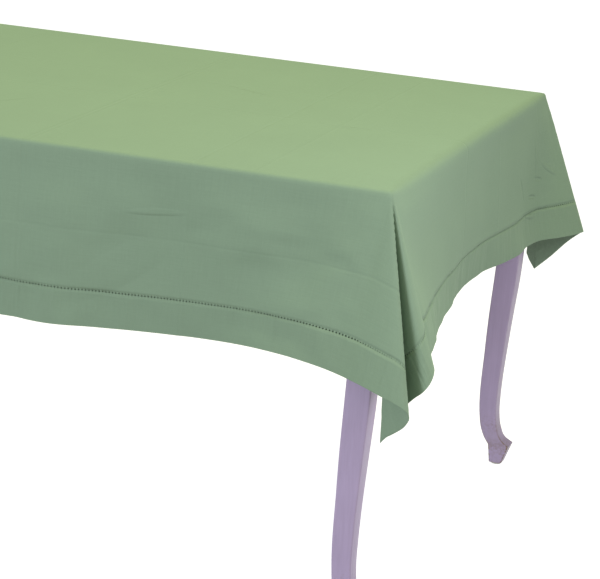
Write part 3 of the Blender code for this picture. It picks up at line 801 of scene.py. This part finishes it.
class Board:
    """The node tree of one material."""

    def __init__(self, name):
        self.material = bpy.data.materials.new(name)
        self.material.use_nodes = True
        self.tree = self.material.node_tree
        self.shader = self.tree.nodes["Principled BSDF"]

    def add(self, kind, settings=None, sockets=None, out=0):
        """Adds a node, sets it, gives its sockets values or links, and returns one of its outputs."""
        node = self.tree.nodes.new(kind)
        for key, value in (settings or {}).items():
            if key == "stops":
                ramp = node.color_ramp
                while len(ramp.elements) > 1:
                    ramp.elements.remove(ramp.elements[-1])
                for i, (place, level) in enumerate(value):
                    stop = ramp.elements[0] if i == 0 else ramp.elements.new(place)
                    stop.position = place
                    stop.color = (level, level, level, 1)
            else:
                setattr(node, key, value)
        for key, value in (sockets or {}).items():
            self.put(node.inputs[key], value)
        return Wire(self, node.outputs[out])

    def put(self, socket, value):
        if isinstance(value, Wire):
            self.tree.links.new(value.socket, socket)
        else:
            socket.default_value = value

    def set(self, **sockets):
        for name, value in sockets.items():
            self.put(self.shader.inputs[name.replace("_", " ").title().replace("Ior", "IOR")], value)

    def mix(self, share, first, second):
        settings = {"data_type": "RGBA"}
        return self.add("ShaderNodeMix", settings, {0: share, 6: first, 7: second}, out=2)

    def noise(self, place, scale, detail=3.0, roughness=0.5):
        values = {"Vector": place, "Scale": scale, "Detail": detail, "Roughness": roughness}
        return self.add("ShaderNodeTexNoise", None, values, out=0)

    def stretched(self, place, x, y, z):
        settings = {"operation": "MULTIPLY"}
        return self.add("ShaderNodeVectorMath", settings, {0: place, 1: (x, y, z)})

    def ramp(self, value, *stops):
        return self.add("ShaderNodeValToRGB", {"stops": stops}, {0: value})

    def fade(self, value, reach):
        """One where the value is 0, falling smoothly to 0 where it is at its reach."""
        settings = {"interpolation_type": "SMOOTHSTEP"}
        sockets = {"Value": value, "From Min": 0, "From Max": reach, "To Min": 1, "To Max": 0}
        return self.add("ShaderNodeMapRange", settings, sockets)

    def bump(self, height, strength, distance, under=None):
        sockets = {"Height": height, "Strength": strength, "Distance": distance}
        if under is not None:
            sockets["Normal"] = under
        return self.add("ShaderNodeBump", None, sockets)


def shade(colour, factor):
    return tuple(c * factor for c in colour) + (1.0,)


def pressed_lines(board, flat):
    """Millimetres of the creases where the cloth lay folded, and of small wrinkles."""
    along = board.add("ShaderNodeSeparateXYZ", None, {0: flat}, out=0)
    across = board.add("ShaderNodeSeparateXYZ", None, {0: flat}, out=1)
    height = 0.0
    for place, folds in ((along, FOLDS_ACROSS), (across, FOLDS_ALONG)):
        for line, deep in folds:
            height = height + board.fade(abs(place - line), 0.0045) * (0.22 * deep)
    for u, v, turn, length, width, deep in WRINKLES:
        cos, sin = math.cos(math.radians(turn)), math.sin(math.radians(turn))
        lengthways = (along - u) * cos + (across - v) * sin
        sideways = (across - v) * cos - (along - u) * sin
        spread = (lengthways * (1 / length)) ** 2.0 + (sideways * (1 / width)) ** 2.0
        height = height + board.fade(spread, 1.0) * (1.4 * deep)
    return height


def hem_puckers(board, flat):
    """Millimetres of the small pulls across a hem, where its two layers were pressed unevenly."""
    across = board.add("ShaderNodeSeparateXYZ", None, {0: flat}, out=1)
    far = HALF_WIDTH + bpy.context.scene.tablecloth_cloth.side_drop - 0.064
    reach = {"Value": abs(across), "From Min": far, "From Max": far + 0.002, "To Min": 0, "To Max": 1}
    on_long_side = board.add("ShaderNodeMapRange", None, reach)
    along_length = board.noise(board.stretched(flat, 34, 7, 1), 1.0, 3.0)
    along_width = board.noise(board.stretched(flat, 7, 34, 1), 1.0, 3.0)
    return (along_length * on_long_side + along_width * (1 - on_long_side)) * 4.0


def make_cloth_material(name, colour, factor=1.0, doubled=False):
    """Dyed plain-weave cotton: fine threads, slubs along both, and a soft nap."""
    board = Board(name)
    flat = board.add("ShaderNodeUVMap", {"uv_map": "weave"})
    weft = board.noise(board.stretched(flat, 90, 1500, 1), 1.0, 2.0)
    warp = board.noise(board.stretched(flat, 1500, 90, 1), 1.0, 2.0)
    slub_weft = board.noise(board.stretched(flat, 14, 420, 1), 1.0, 1.0)
    slub_warp = board.noise(board.stretched(flat, 420, 14, 1), 1.0, 1.0)
    cloudy = board.noise(flat, 5.0, 3.0)
    threads = weft * 0.5 + warp * 0.5
    slubs = slub_weft * 0.5 + slub_warp * 0.5
    tone = threads * 0.45 + slubs * 0.35 + cloudy * 0.2
    share = board.ramp(tone, (0.36, 0.0), (0.64, 1.0))
    base = board.mix(share, shade(colour, 0.94 * factor), shade(colour, 1.06 * factor))
    pressed = board.bump(pressed_lines(board, flat), 1.0, 0.001)
    if doubled:
        pressed = board.bump(hem_puckers(board, flat), 1.0, 0.001, pressed)
    board.set(
        base_color=base,
        roughness=board.ramp(slubs, (0.3, 0.80), (0.7, 0.92)),
        normal=board.bump(slubs, 0.3, 0.0006, board.bump(threads, 0.3, 0.0003, pressed)),
        sheen_weight=0.25,
        sheen_roughness=0.5,
        sheen_tint=shade(colour, 1.6),
        specular_ior_level=0.25,
    )
    return board.material


def make_thread_material(name, colour):
    board = Board(name)
    place = board.add("ShaderNodeTexCoord", None, None, out=3)
    twist = board.noise(place, 900.0, 2.0)
    board.set(
        base_color=board.mix(twist, shade(colour, 0.85), shade(colour, 1.2)),
        roughness=board.ramp(twist, (0.3, 0.75), (0.7, 0.9)),
        normal=board.bump(twist, 0.4, 0.0003),
        specular_ior_level=0.3,
    )
    return board.material


def make_paint_material(name, colour, wood, wear_levels=()):
    """Brushed satin paint over wood, rubbed through a little where hands and feet meet it."""
    board = Board(name)
    place = board.add("ShaderNodeTexCoord", None, None, out=3)
    grain = board.noise(board.stretched(place, 260, 260, 12), 1.0, 3.0)
    cloudy = board.noise(place, 9.0, 4.0)
    speck = board.noise(place, 220.0, 2.0)
    tone = board.ramp(grain * 0.45 + cloudy * 0.55, (0.35, 0.0), (0.65, 1.0))
    painted = board.mix(tone, shade(colour, 0.93), shade(colour, 1.06))
    height = board.add("ShaderNodeSeparateXYZ", None, {0: place}, out=2)
    worn = 0.0
    for level, reach, amount in wear_levels:
        settings = {"interpolation_type": "SMOOTHSTEP"}
        fade = {"Value": height, "From Min": level - reach, "From Max": level, "To Min": 0, "To Max": 1}
        rise = board.add("ShaderNodeMapRange", settings, fade)
        fade = {"Value": height, "From Min": level, "From Max": level + reach, "To Min": 1, "To Max": 0}
        fall = board.add("ShaderNodeMapRange", settings, fade)
        worn = worn + rise * fall * amount
    scuffs = board.ramp(speck * 0.5 + cloudy * 0.5, (0.46, 0.0), (0.62, 1.0))
    rub = worn * scuffs if wear_levels else board.ramp(speck, (0.70, 0.0), (0.74, 0.3))
    if wear_levels:
        arris = board.add("ShaderNodeAttribute", {"attribute_name": "arris"}, None, out=2)
        low = board.fade(height - 0.02, 0.09) * 0.75 + 0.10
        chipped = board.ramp(speck * 0.6 + cloudy * 0.4, (0.40, 0.0), (0.58, 1.0))
        rub = rub + arris * low * chipped + board.fade(height, 0.012) * chipped * 0.6
    board.set(
        base_color=board.mix(rub, painted, shade(wood, 0.5)),
        roughness=board.ramp(cloudy, (0.3, 0.42), (0.7, 0.55)),
        normal=board.bump(grain, 0.22, 0.0006),
        coat_weight=0.1,
        coat_roughness=0.35,
    )
    return board.material


def make_wood_material(name, colour):
    board = Board(name)
    place = board.add("ShaderNodeTexCoord", None, None, out=3)
    bent = board.stretched(place, 30, 30, 160)
    grain = board.noise(bent, 2.0, 5.0, 0.6)
    pores = board.noise(board.stretched(place, 90, 90, 900), 1.0, 2.0)
    tone = board.ramp(grain * 0.7 + pores * 0.3, (0.35, 0.0), (0.65, 1.0))
    board.set(
        base_color=board.mix(tone, shade(colour, 0.65), shade(colour, 1.25)),
        roughness=board.ramp(grain, (0.3, 0.55), (0.7, 0.72)),
        normal=board.bump(pores, 0.3, 0.0005),
    )
    return board.material


def make_steel_material(name, colour):
    board = Board(name)
    place = board.add("ShaderNodeTexCoord", None, None, out=3)
    spangle = board.add("ShaderNodeTexVoronoi", None, {"Vector": place, "Scale": 320.0}, out=0)
    dust = board.noise(place, 140.0, 3.0)
    board.set(
        base_color=board.mix(dust, shade(colour, 0.8), shade(colour, 1.1)),
        metallic=1.0,
        roughness=board.ramp(spangle * 0.5 + dust * 0.5, (0.2, 0.28), (0.8, 0.46)),
        normal=board.bump(dust, 0.1, 0.0002),
    )
    return board.material


def make_glide_material(name, colour):
    board = Board(name)
    place = board.add("ShaderNodeTexCoord", None, None, out=3)
    scratch = board.noise(board.stretched(place, 900, 120, 120), 1.0, 2.0)
    board.set(
        base_color=board.mix(scratch, shade(colour, 0.85), shade(colour, 1.05)),
        roughness=board.ramp(scratch, (0.3, 0.4), (0.7, 0.6)),
        normal=board.bump(scratch, 0.15, 0.0002),
    )
    return board.material


def dress(ob, material):
    ob.data.materials.clear()
    ob.data.materials.append(material)


# Operators ----------------------------------------------------------------------------------------


class TABLECLOTH_OT_stage(bpy.types.Operator):
    """Make the camera, the floor and the lights"""

    bl_idname = "tablecloth.stage"
    bl_label = "Stage"

    def execute(self, context):
        stage = context.scene.tablecloth_stage
        scene = context.scene
        scene.view_settings.view_transform = "Standard"
        self.make_camera(scene, stage)
        floor_mesh = bpy.data.meshes.new("floor")
        bm = bmesh.new()
        bmesh.ops.create_grid(bm, x_segments=1, y_segments=1, size=60)  # metres each way
        bm.to_mesh(floor_mesh)
        bm.free()
        floor = bpy.data.objects.new("floor", floor_mesh)
        floor.location.z = -0.0005
        scene.collection.objects.link(floor)
        board = Board("floor")
        board.set(
            base_color=(0.45, 0.45, 0.45, 1),
            roughness=0.95,
            specular_ior_level=0.0,
            emission_color=(1, 1, 1, 1),
            emission_strength=0.88,
        )
        dress(floor, board.material)
        floor.visible_diffuse = False
        world = bpy.data.worlds.new("studio")
        world.use_nodes = True
        scene.world = world
        background = world.node_tree.nodes["Background"]
        background.inputs["Color"].default_value = (0.95, 0.97, 0.87, 1)
        background.inputs["Strength"].default_value = 0.46
        middle = Vector((HALF_LENGTH * 0.6, 0, TOP_LEVEL * 0.8))
        near = Vector((HALF_LENGTH, -HALF_WIDTH * 0.7, TOP_LEVEL * 0.8))
        self.add_light("top_light", (0.3, 0.4, 3.4), middle, 49, 2.4, (1.0, 0.98, 0.40))
        self.add_light("end_light", (1.95, -0.76, 1.35), near, 10, 0.4, (0.96, 0.96, 1.0))
        self.add_light("front_light", (-2.5, -4.4, 1.9), middle, 124, 1.8, (0.85, 0.90, 1.0))
        return {"FINISHED"}

    def make_camera(self, scene, stage):
        ahead = Vector((
            -math.sin(stage.yaw) * math.cos(stage.pitch),
            math.cos(stage.yaw) * math.cos(stage.pitch),
            -math.sin(stage.pitch),
        ))
        level = Vector((math.cos(stage.yaw), math.sin(stage.yaw), 0))
        upright = level.cross(ahead)
        right = math.cos(stage.roll) * level + math.sin(stage.roll) * upright
        up = math.cos(stage.roll) * upright - math.sin(stage.roll) * level
        camera = bpy.data.objects.new("camera", bpy.data.cameras.new("camera"))
        camera.data.lens = stage.lens
        turn = Matrix((right, up, -ahead)).transposed().to_4x4()
        camera.matrix_world = Matrix.Translation(Vector(stage.camera_place)) @ turn
        scene.collection.objects.link(camera)
        scene.camera = camera

    def add_light(self, name, place, target, power, size, colour):
        light = bpy.data.lights.new(name, "AREA")
        light.energy = power
        light.size = size
        light.color = colour
        ob = bpy.data.objects.new(name, light)
        ob.location = place
        ob.rotation_euler = (target - ob.location).to_track_quat("-Z", "Y").to_euler()
        ob.visible_camera = False
        bpy.context.scene.collection.objects.link(ob)


class TABLECLOTH_OT_cloth(bpy.types.Operator):
    """Drape the cloth, fold its hems and work the hemstitch"""

    bl_idname = "tablecloth.cloth"
    bl_label = "Tablecloth"

    def execute(self, context):
        cloth = context.scene.tablecloth_cloth
        finish = context.scene.tablecloth_finish
        drape = Drape(cloth)
        if cloth.settle_frames:
            settle(drape, cloth)
        fabric = make_cloth_material("green_cotton", finish.cloth)
        doubled = make_cloth_material("green_cotton_doubled", finish.cloth, 0.96, doubled=True)
        thread = make_thread_material("hemstitch_thread", finish.cloth)
        panel = make_panel(drape, cloth)
        dress(panel, fabric)
        trims = []
        for side in SIDES:
            hem = make_hem(drape, cloth, side)
            dress(hem, doubled)
            stitch = make_hemstitch(drape, cloth, side)
            dress(stitch, thread)
            trims += [hem, stitch]
        flat = (2 * drape.half_v, 2 * drape.half_u)
        return {"FINISHED"}


class TABLECLOTH_OT_legs(bpy.types.Operator):
    """Carve and paint the four cabriole legs"""

    bl_idname = "tablecloth.legs"
    bl_label = "Legs"

    def execute(self, context):
        finish = context.scene.tablecloth_finish
        wear = ((0.085, 0.03, 0.30), (0.034, 0.034, 0.45), (0.46, 0.06, 0.30))
        paint = make_paint_material("lilac_leg_paint", finish.paint, finish.wood, wear)
        for corner in CORNERS:
            dress(make_leg(corner), paint)
        return {"FINISHED"}


class TABLECLOTH_OT_joinery(bpy.types.Operator):
    """Finish the top, the aprons, the braces and the hardware"""

    bl_idname = "tablecloth.joinery"
    bl_label = "Joinery"

    def execute(self, context):
        finish = context.scene.tablecloth_finish
        paint = make_paint_material("lilac_frame_paint", finish.paint, finish.wood)
        wood = make_wood_material("bare_wood", finish.wood)
        steel = make_steel_material("zinc_plate", finish.steel)
        glide = make_glide_material("nylon", finish.glide)
        kinds = (
            (("tabletop", "apron_"), paint),
            (("button_screw_", "hanger_bolt_", "washer_", "nut_"), steel),
            (("corner_brace_", "button_"), wood),
            (("glide_",), glide),
        )
        for name, ob in NODES.items():
            for starts, material in kinds:
                if name.startswith(starts):
                    dress(ob, material)
                    break
        return {"FINISHED"}


class TABLECLOTH_PT_panel(bpy.types.Panel):
    bl_label = "Tablecloth"
    bl_idname = "TABLECLOTH_PT_panel"
    bl_space_type = "VIEW_3D"
    bl_region_type = "UI"
    bl_category = "Tablecloth"

    def draw(self, context):
        for operator in OPERATORS:
            self.layout.operator(operator.bl_idname)
        for group in (context.scene.tablecloth_cloth, context.scene.tablecloth_finish):
            for name in group.bl_rna.properties.keys():
                if name not in ("rna_type", "name"):
                    self.layout.prop(group, name)


GROUPS = {
    "tablecloth_cloth": ClothSettings,
    "tablecloth_finish": FinishSettings,
    "tablecloth_stage": StageSettings,
}
OPERATORS = (
    TABLECLOTH_OT_stage,
    TABLECLOTH_OT_joinery,
    TABLECLOTH_OT_legs,
    TABLECLOTH_OT_cloth,
)


def register():
    for cls in (*GROUPS.values(), *OPERATORS, TABLECLOTH_PT_panel):
        bpy.utils.register_class(cls)
    for name, group in GROUPS.items():
        setattr(bpy.types.Scene, name, PointerProperty(type=group))


def unregister():
    for name in GROUPS:
        delattr(bpy.types.Scene, name)
    for cls in (TABLECLOTH_PT_panel, *reversed(OPERATORS), *GROUPS.values()):
        bpy.utils.unregister_class(cls)


def main():
    register()
    bpy.ops.tablecloth.stage()
    bpy.ops.tablecloth.joinery()
    bpy.ops.tablecloth.legs()
    bpy.ops.tablecloth.cloth()


if __name__ == "__main__":
    main()
